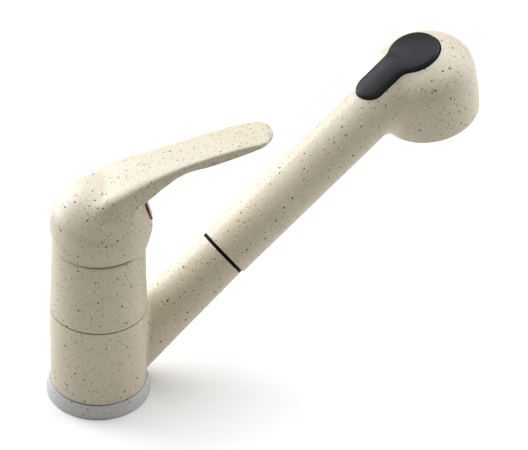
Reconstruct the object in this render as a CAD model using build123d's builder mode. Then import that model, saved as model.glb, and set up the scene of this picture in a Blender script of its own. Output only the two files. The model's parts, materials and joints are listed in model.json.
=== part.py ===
"""Single-lever kitchen mixer with a swivelling spout and a pull-out hand spray.

The frame has its origin on the worktop, under the middle of the base ring, with Z up and the spout
over +X. Sizes are in millimetres and angles in degrees. One STEP file is written for each piece.
"""
from math import cos, radians, sin, sqrt
import os

from build123d import *

# Clearances
TURN_GAP = 0.1  # radial, between pieces that turn or slide in each other
FIT_GAP = 0.1  # radial, between pieces that are fitted and stay put
LOOSE_GAP = 0.3  # radial, where a piece must pass freely

# Base ring and the fixed column
BASE_R = 26.0
BASE_TOP_R = 24.5
BASE_H = 7.4
BASE_BAND = 1.5  # upright band at the foot of the ring
BASE_LEDGE = 2.0  # the column stands on this ledge
LEDGE_R = 18.2
SEAL_R = 23.2
SEAL_W = 2.2
SEAL_T = 1.0
COLUMN_R = 19.8
FOOT_T = 12.0
WINDOW_X = -2.6  # the column is open in front of this plane
WINDOW_H = 34.0

# Water ports and fixings under the foot
PORT_R = 4.45  # M10 x 1 thread, minor radius
PORT_BORE_R = 3.0
PORT_DEPTH = 10.0
SUPPLY_X = -8.0
SUPPLY_Y = 9.5
OUTLET_X = -12.2
STUD_R = 3.4  # M8 thread, minor radius
STUD_X = 2.0
STUD_Y = 14.0
STUD_DEPTH = 10.0
HOSE_R = 8.5
HOSE_X = 9.0

# Swivelling spout
GLIDE_T = 0.6
GLIDE_W = 0.95
GLIDE_H = 5.8
GLIDE_INSET = 0.7  # the glide rings lie this far inside the outer wall
SPOUT_R = 23.9
SPOUT_H = 44.3
ARM_ANGLE = 36.0
ARM_AXIS_Z = 9.14  # where the arm's axis crosses the column's
ARM_LENGTH = 85.0  # along its axis, from the column's axis
ARM_ROOT_R = 15.65
ARM_END_R = 13.25
ARM_BORE_R = 11.0
ARM_CREASE = 2.2  # fillet between arm and barrel

# Sleeve and cartridge
SLEEVE_LOW_R = 23.75
SLEEVE_TOP_R = 22.6
SLEEVE_H = 38.1
CHAMBER_R = 17.4
CHAMBER_DEPTH = 31.0
CARTRIDGE_R = 17.2
CARTRIDGE_WALL = 1.0
CARTRIDGE_BASE_T = 6.0
SHOULDER_H = 24.0  # of the cartridge, above the chamber floor
NECK_R = 12.6
NECK_BORE_R = 10.9
NECK_H = 14.0
RING_SEAL_T = 1.4
RING_SEAL_W = 1.3
DISC_T = 3.2
DISC_MOVING_R = 12.0
COUPLER_R = 10.4
COUPLER_H = 6.6
NUT_COLLAR_H = 3.8
NUT_COLLAR_R = 16.4
NUT_GAP = 0.3

# Lever and the ball-shaped cover that it slides over
PIVOT_RISE = 4.5  # lift pivot above the top of the sleeve
COVER_R = 22.4
COVER_WALL = 1.5
COVER_H = 7.5  # above the pivot
CAVITY_R = 23.0
CAP_R = 24.4
CAP_RISE = 5.0  # centre of the lever's ball above the lift pivot
CAP_TILT = 10.5  # rim lies low at the front when the water is off
LEVER_TURN = -23.0  # from the spout, seen from above
LEVER_REACH = 82.0
LEVER_HALF_W = 10.5
LEVER_TIP_R = 11.2
BOSS_R = 8.0
BOSS_LOW = 8.0
STEM_W = 8.0
STEM_TOP = 22.0
STEM_FOOT = 6.0
STEM_NECK_R = 2.6
BALL_R = 3.0
BALL_DROP = 19.0
STEM_PIN_R = 1.95
ROTOR_FOOT = 15.5
SCREW_UP = 17.0
SCREW_R = 2.5
SCREW_LENGTH = 8.0
SCREW_RIB = 0.8  # metal round the plug's seat
PLUG_R = 4.4
PLUG_SEAT = 15.5
PLUG_PROUD = 0.9

# Hand spray
BUSH_FLANGE_R = 13.0
BUSH_FLANGE_T = 1.5
BUSH_LENGTH = 30.0
BUSH_BORE_R = 9.7
DOCK_GAP = 0.2
HANDSET_LOW_R = 14.0
HANDSET_TOP_R = 13.7
HANDSET_WALL = 2.2
HANDSET_LIP = 0.6  # rounding at the docking end
HANDSET_END = 210.0  # where the tube rounds off inside the head, along the arm's axis
HEAD_AT = 222.9  # where the head's axis crosses the arm's
HEAD_LEAN = 21.2  # between the arm's axis and the spray face
FACE_DROP = 32.4
HEAD_FACE_R = 25.3
HEAD_R = 26.2
HEAD_SHOULDER = 9.0  # the upright side ends this far below the arm's axis
HEAD_CROWN = 19.6
HEAD_WALL = 3.0
HEAD_BLEND = 9.0
HEAD_RIM = 1.2

# Tail of the hand spray and its waterway
TAIL_LENGTH = 29.0
TAIL_COLLAR = 18.7
HOSE_THREAD_R = 7.0
HOSE_THREAD = 16.0
VALVE_R = 6.5
VALVE_LENGTH = 14.8
WASHER_T = 1.8
PIPE_R = 6.5
PIPE_BORE_R = 5.0
PIPE_SEAT = 8.0
BLOCK_SOCKET_R = 8.5
BLOCK_SOCKET = 13.0
BLOCK_NECK_AT = 201.0
BLOCK_WALL = 2.0
BLOCK_NECK_R = 4.6
BLOCK_NECK_BORE_R = 3.2

# Spray face
PLATE_R = 23.3
PLATE_T = 4.0
FACE_RING_T = 1.0
FACE_RING_W = 2.2
NOZZLE_R = 1.0
NOZZLE_GAP = 0.15
NOZZLE_PROUD = 0.5
NOZZLE_ROWS = ((13.0, 16), (17.0, 24))  # ring radius, count
MAT_T = 1.2
MAT_R = 19.8
AERATOR_R = 8.8
AERATOR_LIP = 1.4
BLOCK_FLANGE_T = 2.8
TOWER_R = 10.5
TOWER_DROP = 3.0  # the tower ends this far below the arm's axis
VALVE_BORE_R = 4.2

# Rocker button and the diverter that it works
TAIL_HALF_W = 7.5
TAIL_AT = 195.7
PAD_R = 12.8
PAD_AT = 222.8
KEY_BLEND = 8.0
BUTTON_PROUD = 1.3
BUTTON_T = 3.0
BUTTON_EDGE = 0.7
BUTTON_GAP = 0.6
ROCK_AT = 207.0
ROCK_H = 7.6
ROCK_PIN_R = 1.2
ROCK_BOSS_R = 2.4
LUG_IN = 4.8
LUG_T = 1.7
LUG_W = 4.4
LUG_RISE = 1.8
PLUNGER_LENGTH = 15.0  # of its piston
PLUNGER_ROD_R = 2.6
PLUNGER_GAP = 0.5
PLUNGER_SEAL_DROP = 5.0  # below the top of the tower
PLUNGER_SEAL_T = 1.6
PLUNGER_SEAL_W = 0.9

# Heights that follow
SPOUT_LOW = BASE_H + GLIDE_T
SPOUT_TOP = SPOUT_LOW + SPOUT_H
SLEEVE_LOW = SPOUT_TOP + GLIDE_T
SLEEVE_TOP = SLEEVE_LOW + SLEEVE_H
FLOOR_Z = SLEEVE_TOP - CHAMBER_DEPTH
PIVOT_Z = SLEEVE_TOP + PIVOT_RISE
SHOULDER_Z = FLOOR_Z + SHOULDER_H
NECK_TOP = SHOULDER_Z + NECK_H
BASE_PLATE_TOP = FLOOR_Z + CARTRIDGE_BASE_T
DISC_TOP = BASE_PLATE_TOP + DISC_T
MOVING_TOP = DISC_TOP + DISC_T
COUPLER_TOP = MOVING_TOP + COUPLER_H
ROTOR_LOW = PIVOT_Z - ROTOR_FOOT
NECK_FLOOR = ROTOR_LOW - LOOSE_GAP
SPOUT_BORE_R = COLUMN_R + GLIDE_W + 2 * TURN_GAP
BUSH_END = ARM_LENGTH + BUSH_FLANGE_T
HANDSET_START = BUSH_END + DOCK_GAP
TAIL_R = BUSH_BORE_R - LOOSE_GAP
TAIL_END = HANDSET_START - TAIL_LENGTH
VALVE_AT = TAIL_END + HOSE_THREAD
COLLAR_END = HANDSET_START + TAIL_COLLAR
PIPE_START = COLLAR_END - PIPE_SEAT
SOCKET_START = BLOCK_NECK_AT - BLOCK_SOCKET
SOCKET_END = BLOCK_NECK_AT - BLOCK_WALL
PLATE_TOP = FACE_RING_T + PLATE_T
MAT_TOP = PLATE_TOP + MAT_T
HEAD_SIDE = FACE_DROP - HEAD_SHOULDER
CROWN_TOP = HEAD_SIDE + HEAD_CROWN
TOWER_TOP = FACE_DROP - TOWER_DROP
PLUNGER_FOOT = TOWER_TOP - PLUNGER_LENGTH
PLUNGER_SEAL_AT = TOWER_TOP - PLUNGER_SEAL_DROP
PORTS = [(SUPPLY_X, SUPPLY_Y), (SUPPLY_X, -SUPPLY_Y), (OUTLET_X, 0)]

# Directions, planes and axes
arm = Vector(cos(radians(ARM_ANGLE)), 0, sin(radians(ARM_ANGLE)))
arm_side = Plane(origin=(0, 0, ARM_AXIS_Z), x_dir=arm, z_dir=(0, -1, 0))  # along the arm, up
arm_deck = Plane(origin=(0, 0, ARM_AXIS_Z), x_dir=arm, z_dir=arm_side.y_dir)  # along, across
arm_axis = Axis((0, 0, ARM_AXIS_Z), arm)

face_angle = radians(ARM_ANGLE - HEAD_LEAN)
head_up = Vector(-sin(face_angle), 0, cos(face_angle))
face_centre = Vector(0, 0, ARM_AXIS_Z) + arm * HEAD_AT - head_up * FACE_DROP
head_side = Plane(origin=face_centre, x_dir=(cos(face_angle), 0, sin(face_angle)), z_dir=(0, -1, 0))
head_face = Plane(origin=face_centre, x_dir=head_side.x_dir, z_dir=head_up)
head_axis = Axis(face_centre, head_up)

turn, tilt = radians(LEVER_TURN), radians(CAP_TILT)
ahead = Vector(cos(turn), sin(turn), 0)
across = Vector(sin(turn), -cos(turn), 0)
pivot = Vector(0, 0, PIVOT_Z)
cap_side = Plane(origin=pivot, x_dir=ahead * cos(tilt) - Vector(0, 0, sin(tilt)), z_dir=across)
cap_axis = Axis(pivot, cap_side.y_dir)
cap_deck = Plane(origin=pivot, x_dir=cap_side.x_dir, z_dir=cap_side.y_dir)
cap_front = Plane(origin=pivot, x_dir=-across, z_dir=cap_side.x_dir)
pin_plane = Plane(origin=pivot, x_dir=ahead, z_dir=across)
lever_plan = Plane(origin=(0, 0, 0), x_dir=ahead, z_dir=(0, 0, 1))


def crown(radius, low, height):
    """The rounded top of a turned profile, from its side to its axis."""
    half = sqrt(0.5)
    Spline((radius, low), (radius * half, low + height * half), (0, low + height),
           tangents=((0, 1), (-1, 0)))


def taper(start, end):
    """A line of a turned profile. A sloping one is a spline, which is meshed more finely than a cone."""
    (a, b), (c, d) = start, end
    if a == c or b == d:
        Line(start, end)
    else:
        Spline(start, ((a + c) / 2, (b + d) / 2), end)


def spin(side, axis, *outline, mode=Mode.ADD):
    """Turn an outline, drawn on a side plane, about an axis in the part being built."""
    with BuildSketch(side) as profile:
        with BuildLine():
            for start, end in zip(outline, outline[1:] + outline[:1]):
                taper(start, end)
        make_face()
    revolve(profile.sketch, axis=axis, mode=mode)


def upright_ring(outer, inner, low, high, mode=Mode.ADD):
    """A plain ring about the column."""
    spin(Plane.XZ, Axis.Z, (inner, low), (outer, low), (outer, high), (inner, high), mode=mode)


def arm_ring(outer, inner, start, end, mode=Mode.ADD):
    """A plain ring about the arm's axis."""
    spin(arm_side, arm_axis, (start, inner), (end, inner), (end, outer), (start, outer), mode=mode)


def head_ring(outer, inner, low, high, mode=Mode.ADD):
    """A plain ring about the head's axis."""
    spin(head_side, head_axis, (inner, low), (outer, low), (outer, high), (inner, high), mode=mode)


# Base ring: a turned ring with a ledge for the column and a groove for its seal
with BuildPart() as base_ring:
    socket = COLUMN_R + FIT_GAP
    spin(Plane.XZ, Axis.Z, (LEDGE_R, 0), (BASE_R, 0), (BASE_R, BASE_BAND), (BASE_TOP_R, BASE_H),
         (socket, BASE_H), (socket, BASE_LEDGE), (LEDGE_R, BASE_LEDGE))
    fillet(base_ring.edges().filter_by(GeomType.CIRCLE).sort_by(SortBy.RADIUS)[-3:-1], 0.5)
    upright_ring(SEAL_R + SEAL_W / 2, SEAL_R - SEAL_W / 2, 0, SEAL_T, mode=Mode.SUBTRACT)

with BuildPart() as base_seal:
    upright_ring(SEAL_R + SEAL_W / 2, SEAL_R - SEAL_W / 2, 0, SEAL_T)

# Mixer body: foot, open column and the sleeve with the cartridge chamber, cast as one
with BuildPart() as mixer_body:
    upright_ring(COLUMN_R, 0, BASE_LEDGE, SLEEVE_LOW)
    spin(Plane.XZ, Axis.Z, (0, SLEEVE_LOW), (SLEEVE_LOW_R, SLEEVE_LOW), (SLEEVE_TOP_R, SLEEVE_TOP),
         (0, SLEEVE_TOP))
    fillet(mixer_body.faces().sort_by(Axis.Z)[-1].edges(), 0.5)
    upright_ring(CHAMBER_R, 0, FLOOR_Z, SLEEVE_TOP, mode=Mode.SUBTRACT)
    window_low = BASE_LEDGE + FOOT_T
    with BuildSketch(Plane.XY.offset(window_low)):
        with Locations((WINDOW_X, 0)):
            Rectangle(2 * COLUMN_R, 3 * COLUMN_R, align=(Align.MIN, Align.CENTER))
    extrude(amount=WINDOW_H, mode=Mode.SUBTRACT)
    foot = Plane(origin=(0, 0, BASE_LEDGE), x_dir=(1, 0, 0), z_dir=(0, 0, 1))
    with BuildSketch(foot):
        with Locations(*PORTS):
            Circle(PORT_R)
    extrude(amount=PORT_DEPTH, mode=Mode.SUBTRACT)
    with BuildSketch(foot):
        with Locations((STUD_X, STUD_Y), (STUD_X, -STUD_Y)):
            Circle(STUD_R)
    extrude(amount=STUD_DEPTH, mode=Mode.SUBTRACT)
    with BuildSketch(foot):
        with Locations(*PORTS):
            Circle(PORT_BORE_R)
    extrude(amount=FLOOR_Z - BASE_LEDGE, mode=Mode.SUBTRACT)
    with BuildSketch(foot):
        with Locations((HOSE_X, 0)):
            Circle(HOSE_R)
    extrude(amount=FOOT_T, mode=Mode.SUBTRACT)


def glide_ring(flange_low, sleeve_low):
    """An L-shaped plastic ring that keeps the spout off the column and off its neighbour."""
    inner = COLUMN_R + TURN_GAP
    upright_ring(SPOUT_R - GLIDE_INSET, inner, flange_low, flange_low + GLIDE_T)
    upright_ring(inner + GLIDE_W, inner, sleeve_low, sleeve_low + GLIDE_H)


with BuildPart() as lower_glide_ring:
    glide_ring(BASE_H, SPOUT_LOW)

with BuildPart() as upper_glide_ring:
    glide_ring(SPOUT_TOP, SPOUT_TOP - GLIDE_H)

# Spout body: barrel and inclined arm, cast as one, bored for the column and for the hose
with BuildPart() as spout_body:
    upright_ring(SPOUT_R, 0, 0, SPOUT_TOP)
    spin(arm_side, arm_axis, (0, 0), (ARM_LENGTH, 0), (ARM_LENGTH, ARM_END_R), (0, ARM_ROOT_R))
    split(bisect_by=Plane.XY.offset(-SPOUT_R), keep=Keep.TOP)
    fillet(spout_body.edges().filter_by(GeomType.BSPLINE), ARM_CREASE)
    split(bisect_by=Plane.XY.offset(SPOUT_LOW), keep=Keep.TOP)
    upright_ring(SPOUT_BORE_R, 0, 0, SPOUT_TOP, mode=Mode.SUBTRACT)
    arm_ring(ARM_BORE_R, 0, SPOUT_BORE_R / 4, ARM_LENGTH, mode=Mode.SUBTRACT)

with BuildPart() as socket_bush:
    arm_ring(ARM_BORE_R, BUSH_BORE_R, ARM_LENGTH - BUSH_LENGTH, ARM_LENGTH)
    arm_ring(BUSH_FLANGE_R, BUSH_BORE_R, ARM_LENGTH, BUSH_END)

# Cartridge: base plate with ring seals, ceramic discs, housing, rotor and clamping nut
with BuildPart() as cartridge_seals:
    with BuildSketch(Plane.XY.offset(FLOOR_Z)):
        with Locations(*PORTS):
            Circle(PORT_BORE_R + RING_SEAL_W)
            Circle(PORT_BORE_R, mode=Mode.SUBTRACT)
    extrude(amount=RING_SEAL_T)

with BuildPart() as cartridge_base:
    upright_ring(CARTRIDGE_R, 0, FLOOR_Z, BASE_PLATE_TOP)
    with BuildSketch(Plane.XY.offset(FLOOR_Z)):
        with Locations(*PORTS):
            Circle(PORT_BORE_R + RING_SEAL_W)
    extrude(amount=RING_SEAL_T, mode=Mode.SUBTRACT)
    with BuildSketch(Plane.XY.offset(FLOOR_Z)):
        with Locations(*PORTS):
            Circle(PORT_BORE_R)
    extrude(amount=CARTRIDGE_BASE_T, mode=Mode.SUBTRACT)

disc_chamber_r = CARTRIDGE_R - CARTRIDGE_WALL
with BuildPart() as fixed_disc:
    upright_ring(disc_chamber_r - FIT_GAP, 0, BASE_PLATE_TOP, DISC_TOP)
    with BuildSketch(Plane.XY.offset(BASE_PLATE_TOP)):
        with Locations(*PORTS):
            Circle(PORT_BORE_R)
    extrude(amount=DISC_T, mode=Mode.SUBTRACT)

with BuildPart() as cartridge_housing:
    spin(Plane.XZ, Axis.Z, (disc_chamber_r, BASE_PLATE_TOP), (CARTRIDGE_R, BASE_PLATE_TOP),
         (CARTRIDGE_R, SHOULDER_Z), (NECK_R, SHOULDER_Z), (NECK_R, NECK_TOP),
         (NECK_BORE_R, NECK_TOP), (NECK_BORE_R, NECK_FLOOR), (disc_chamber_r, NECK_FLOOR))

with BuildPart() as cartridge_nut:
    inner = NECK_R + NUT_GAP
    upright_ring(CHAMBER_R - FIT_GAP, inner, SHOULDER_Z, SLEEVE_TOP)
    with BuildSketch(Plane.XY.offset(SLEEVE_TOP)):
        RegularPolygon(NUT_COLLAR_R, 6)
        Circle(inner, mode=Mode.SUBTRACT)
    extrude(amount=NUT_COLLAR_H)

with BuildPart() as cartridge_rotor:
    upright_ring(NECK_BORE_R - TURN_GAP, 0, ROTOR_LOW, NECK_TOP)
    with BuildSketch(lever_plan.offset(ROTOR_LOW)):
        slot_reach = ROTOR_FOOT * sin(tilt) + STEM_NECK_R + STEM_W / 4
        Rectangle(2 * slot_reach, STEM_W + 2 * LOOSE_GAP)
    extrude(amount=NECK_TOP - ROTOR_LOW, mode=Mode.SUBTRACT)
    with BuildSketch(pin_plane):
        Circle(STEM_PIN_R)
    extrude(amount=NECK_BORE_R, both=True, mode=Mode.SUBTRACT)

with BuildPart() as stem_pin:
    with BuildSketch(pin_plane):
        Circle(STEM_PIN_R)
    extrude(amount=sqrt((NECK_BORE_R - TURN_GAP) ** 2 - STEM_PIN_R ** 2) - FIT_GAP, both=True)

# The disc and its coupler follow the stem's ball, so they start behind the column's axis
ball = pivot - cap_side.y_dir * BALL_DROP
disc_centre = Vector(ball.X, ball.Y, 0)
disc_plan = Plane(origin=disc_centre, x_dir=ahead, z_dir=(0, 0, 1))

with BuildPart() as moving_disc:
    with BuildSketch(disc_plan.offset(DISC_TOP)):
        Circle(DISC_MOVING_R)
    extrude(amount=DISC_T)
    with BuildSketch(disc_plan.offset(DISC_TOP)):
        SlotOverall(1.4 * DISC_MOVING_R, DISC_MOVING_R)
    extrude(amount=DISC_T / 2, mode=Mode.SUBTRACT)

with BuildPart() as disc_coupler:
    with BuildSketch(disc_plan.offset(MOVING_TOP)):
        Circle(COUPLER_R)
    extrude(amount=COUPLER_H)
    pocket_low = PIVOT_Z - BALL_DROP - BALL_R - LOOSE_GAP
    with BuildSketch(disc_plan.offset(pocket_low)):
        Circle(BALL_R + LOOSE_GAP + TURN_GAP)
    extrude(amount=COUPLER_TOP - pocket_low, mode=Mode.SUBTRACT)

with BuildPart() as cover_dome:
    with Locations(pivot):
        Sphere(COVER_R)
        Sphere(COVER_R - COVER_WALL, mode=Mode.SUBTRACT)
    split(bisect_by=Plane.XY.offset(SLEEVE_TOP), keep=Keep.TOP)
    split(bisect_by=Plane.XY.offset(PIVOT_Z + COVER_H), keep=Keep.BOTTOM)

# Stem: square at the top for the lever, pinned in the rotor, with a ball that drives the disc
with BuildPart() as stem:
    with BuildSketch(cap_deck.offset(-STEM_FOOT)):
        Rectangle(STEM_W, STEM_W)
    extrude(amount=STEM_FOOT + STEM_TOP)
    spin(cap_side, cap_axis, (0, -BALL_DROP), (STEM_NECK_R, -BALL_DROP), (STEM_NECK_R, -STEM_FOOT),
         (0, -STEM_FOOT))
    with Locations(ball):
        Sphere(BALL_R)
    with BuildSketch(pin_plane):
        Circle(STEM_PIN_R + TURN_GAP)
    extrude(amount=STEM_W, both=True, mode=Mode.SUBTRACT)


# Lever arm sections, from inside the ball to the tip: reach, half width, top, underside, corner
ARM_SECTIONS = (
    (-13.0, 14.6, 114.0, 98.0, 6.0),
    (2.0, 17.7, 124.4, 107.0, 5.4),
    (15.0, 15.8, 130.8, 117.0, 4.0),
    (28.0, 12.9, 136.0, 127.6, 2.6),
    (48.0, 10.9, 143.2, 137.9, 1.6),
    (66.0, LEVER_HALF_W, 148.6, 144.2, 1.3),
    (LEVER_REACH + 1.0, LEVER_HALF_W, 151.5, 149.0, 1.0),
)

cap_centre = pivot + cap_side.y_dir * CAP_RISE
with BuildPart() as lever_arm:
    for reach, half, top, under, corner in ARM_SECTIONS:
        with BuildSketch(Plane(origin=ahead * reach, x_dir=-across, z_dir=ahead)):
            with BuildLine():
                Polyline((-half, top - corner), (-half, under), (half, under), (half, top - corner))
                RadiusArc((half, top - corner), (half - corner, top), -corner)
                Line((half - corner, top), (corner - half, top))
                RadiusArc((corner - half, top), (-half, top - corner), -corner)
            make_face()
    loft()
    with BuildSketch(lever_plan):
        with Locations((LEVER_REACH - LEVER_TIP_R, 0)):
            Rectangle(2 * LEVER_TIP_R, 4 * LEVER_TIP_R, align=(Align.MIN, Align.CENTER))
            Circle(LEVER_TIP_R, mode=Mode.SUBTRACT)
    extrude(amount=2 * PIVOT_Z, mode=Mode.SUBTRACT)

with BuildPart() as lever:
    with Locations(cap_centre):
        Sphere(CAP_R)
    add(lever_arm.part)
    split(bisect_by=cap_deck, keep=Keep.TOP)
    with Locations(pivot):
        Sphere(CAVITY_R, mode=Mode.SUBTRACT)
    spin(cap_side, cap_axis, (0, BOSS_LOW), (BOSS_R, BOSS_LOW), (BOSS_R, CAVITY_R), (0, CAVITY_R))
    with BuildSketch(cap_front):
        with Locations((0, SCREW_UP)):
            Circle(PLUG_R + SCREW_RIB)
    extrude(amount=PLUG_SEAT)
    with BuildSketch(cap_deck.offset(BOSS_LOW)):
        Rectangle(STEM_W + 2 * FIT_GAP, STEM_W + 2 * FIT_GAP)
    extrude(amount=STEM_TOP + LOOSE_GAP - BOSS_LOW, mode=Mode.SUBTRACT)
    screw_seat = cap_front.offset(STEM_W / 2)
    with BuildSketch(screw_seat):
        with Locations((0, SCREW_UP)):
            Circle(SCREW_R)
    extrude(amount=CAP_R, mode=Mode.SUBTRACT)
    with BuildSketch(cap_front.offset(PLUG_SEAT)):
        with Locations((0, SCREW_UP)):
            Circle(PLUG_R + FIT_GAP)
    extrude(amount=CAP_R, mode=Mode.SUBTRACT)

with BuildPart() as grub_screw:
    with BuildSketch(screw_seat):
        with Locations((0, SCREW_UP)):
            Circle(SCREW_R)
    extrude(amount=SCREW_LENGTH)
    with BuildSketch(screw_seat.offset(SCREW_LENGTH)):
        with Locations((0, SCREW_UP)):
            RegularPolygon(SCREW_R / 2, 6)
    extrude(amount=-SCREW_R, mode=Mode.SUBTRACT)

with BuildPart() as indicator_plug:
    with BuildSketch(cap_front.offset(PLUG_SEAT)):
        with Locations((0, SCREW_UP)):
            Circle(PLUG_R)
    extrude(amount=CAP_R)
    with Locations(cap_centre):
        Sphere(CAP_R + PLUG_PROUD, mode=Mode.INTERSECT)


def handset_form(grow):
    """Outer form of the hand spray, grown or shrunk: a tube that blends into a round head."""
    with BuildPart() as form:
        face_r, side_r = HEAD_FACE_R + grow, HEAD_R + grow
        with BuildSketch(head_side):
            with BuildLine():
                Polyline((0, CROWN_TOP + grow), (0, 0), (face_r - HEAD_RIM, 0))
                RadiusArc((face_r - HEAD_RIM, 0), (face_r, HEAD_RIM), -HEAD_RIM)
                Spline((face_r, HEAD_RIM), (side_r, HEAD_SIDE), tangents=((0.15, 1), (0, 1)))
                crown(side_r, HEAD_SIDE, HEAD_CROWN + grow)
            make_face()
        revolve(axis=head_axis)
        start_r, end_r = HANDSET_LOW_R + grow, HANDSET_TOP_R + grow
        lip = HANDSET_START + HANDSET_LIP
        with BuildSketch(arm_side):
            with BuildLine():
                Polyline((HANDSET_END + end_r, 0), (HANDSET_START, 0),
                         (HANDSET_START, start_r - HANDSET_LIP))
                RadiusArc((HANDSET_START, start_r - HANDSET_LIP), (lip, start_r), HANDSET_LIP)
                taper((lip, start_r), (HANDSET_END, end_r))
                CenterArc((HANDSET_END, 0), end_r, 0, 90)
            make_face()
        revolve(axis=arm_axis)
        fillet(form.edges().filter_by(GeomType.BSPLINE), HEAD_BLEND)
    return form.part


def key_outline(grow):
    """Keyhole outline of the rocker button, on the deck of the hand spray."""
    with BuildSketch(arm_deck) as key:
        with Locations((PAD_AT, 0)):
            Circle(PAD_R)
        with Locations((TAIL_AT, 0)):
            Circle(TAIL_HALF_W)
            Rectangle(PAD_AT - TAIL_AT, 2 * TAIL_HALF_W, align=(Align.MIN, Align.CENTER))
        throat = PAD_AT - sqrt(PAD_R ** 2 - TAIL_HALF_W ** 2)
        fillet(key.vertices().filter_by_position(Axis.X, throat - 0.1, throat + 0.1), KEY_BLEND)
        if grow:
            offset(amount=grow)
    return key.sketch


# Hand spray: moulded shell, hollow for the waterway and open on top for the rocker
with BuildPart() as handset_shell:
    add(handset_form(0))
    bore = HANDSET_TOP_R - HANDSET_WALL
    arm_ring(bore, 0, HANDSET_START, HANDSET_END, mode=Mode.SUBTRACT)
    with BuildSketch(head_side):
        with BuildLine():
            inside = HEAD_FACE_R - HEAD_WALL
            Polyline((0, CROWN_TOP - HEAD_WALL), (0, 0), (inside, 0), (inside, HEAD_SIDE))
            crown(inside, HEAD_SIDE, HEAD_CROWN - HEAD_WALL)
        make_face()
    revolve(axis=head_axis, mode=Mode.SUBTRACT)
    head_ring(PLATE_R + FIT_GAP, 0, 0, PLATE_TOP, mode=Mode.SUBTRACT)
    extrude(key_outline(BUTTON_GAP), amount=2 * HANDSET_LOW_R, mode=Mode.SUBTRACT)

with BuildPart() as handset_tail:
    collar_r = HANDSET_TOP_R - HANDSET_WALL - FIT_GAP
    arm_ring(TAIL_R, 0, TAIL_END, HANDSET_START)
    chamfer(handset_tail.faces().sort_by(arm_axis)[0].edges(), 1.2)
    arm_ring(collar_r, 0, HANDSET_START, COLLAR_END)
    arm_ring(HOSE_THREAD_R, 0, TAIL_END, VALVE_AT, mode=Mode.SUBTRACT)
    arm_ring(VALVE_R + FIT_GAP, 0, VALVE_AT, VALVE_AT + VALVE_LENGTH, mode=Mode.SUBTRACT)
    arm_ring(PIPE_BORE_R, 0, TAIL_END, COLLAR_END, mode=Mode.SUBTRACT)
    arm_ring(PIPE_R + FIT_GAP, 0, PIPE_START, COLLAR_END, mode=Mode.SUBTRACT)

with BuildPart() as inlet_washer:
    arm_ring(HOSE_THREAD_R - FIT_GAP, PIPE_BORE_R, VALVE_AT - WASHER_T, VALVE_AT)

with BuildPart() as check_valve:
    arm_ring(VALVE_R, PIPE_BORE_R, VALVE_AT, VALVE_AT + VALVE_LENGTH)
    arm_ring(PIPE_BORE_R, PIPE_BORE_R / 2, VALVE_AT, VALVE_AT + WASHER_T)

with BuildPart() as waterway:
    arm_ring(PIPE_R, PIPE_BORE_R, PIPE_START, SOCKET_END)

# Spray face: plate with nozzle holes, soft nozzles, aerator and retaining ring
with BuildPart() as face_ring:
    head_ring(PLATE_R, PLATE_R - FACE_RING_W, 0, FACE_RING_T)

with BuildPart() as spray_plate:
    head_ring(PLATE_R, AERATOR_R + FIT_GAP, FACE_RING_T, PLATE_TOP)
    with BuildSketch(head_face.offset(FACE_RING_T)):
        for ring_r, count in NOZZLE_ROWS:
            with PolarLocations(ring_r, count):
                Circle(NOZZLE_R + NOZZLE_GAP)
    extrude(amount=PLATE_T, mode=Mode.SUBTRACT)

with BuildPart() as nozzle_mat:
    head_ring(MAT_R, AERATOR_R + AERATOR_LIP + FIT_GAP, PLATE_TOP, MAT_TOP)
    with BuildSketch(head_face.offset(FACE_RING_T - NOZZLE_PROUD)):
        for ring_r, count in NOZZLE_ROWS:
            with PolarLocations(ring_r, count):
                Circle(NOZZLE_R)
                Circle(NOZZLE_R / 2, mode=Mode.SUBTRACT)
    extrude(amount=MAT_TOP - FACE_RING_T + NOZZLE_PROUD)

with BuildPart() as aerator:
    mesh_low, mesh_t = FACE_RING_T / 2, 1.6
    head_ring(AERATOR_R, 0, mesh_low, MAT_TOP)
    head_ring(AERATOR_R + AERATOR_LIP, 0, PLATE_TOP, MAT_TOP)
    head_ring(AERATOR_R - 1.4, 0, mesh_low + mesh_t, MAT_TOP, mode=Mode.SUBTRACT)
    with BuildSketch(head_face.offset(mesh_low)):
        with HexLocations(0.95, 7, 7):
            Circle(0.6)
    extrude(amount=mesh_t, mode=Mode.SUBTRACT)

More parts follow.
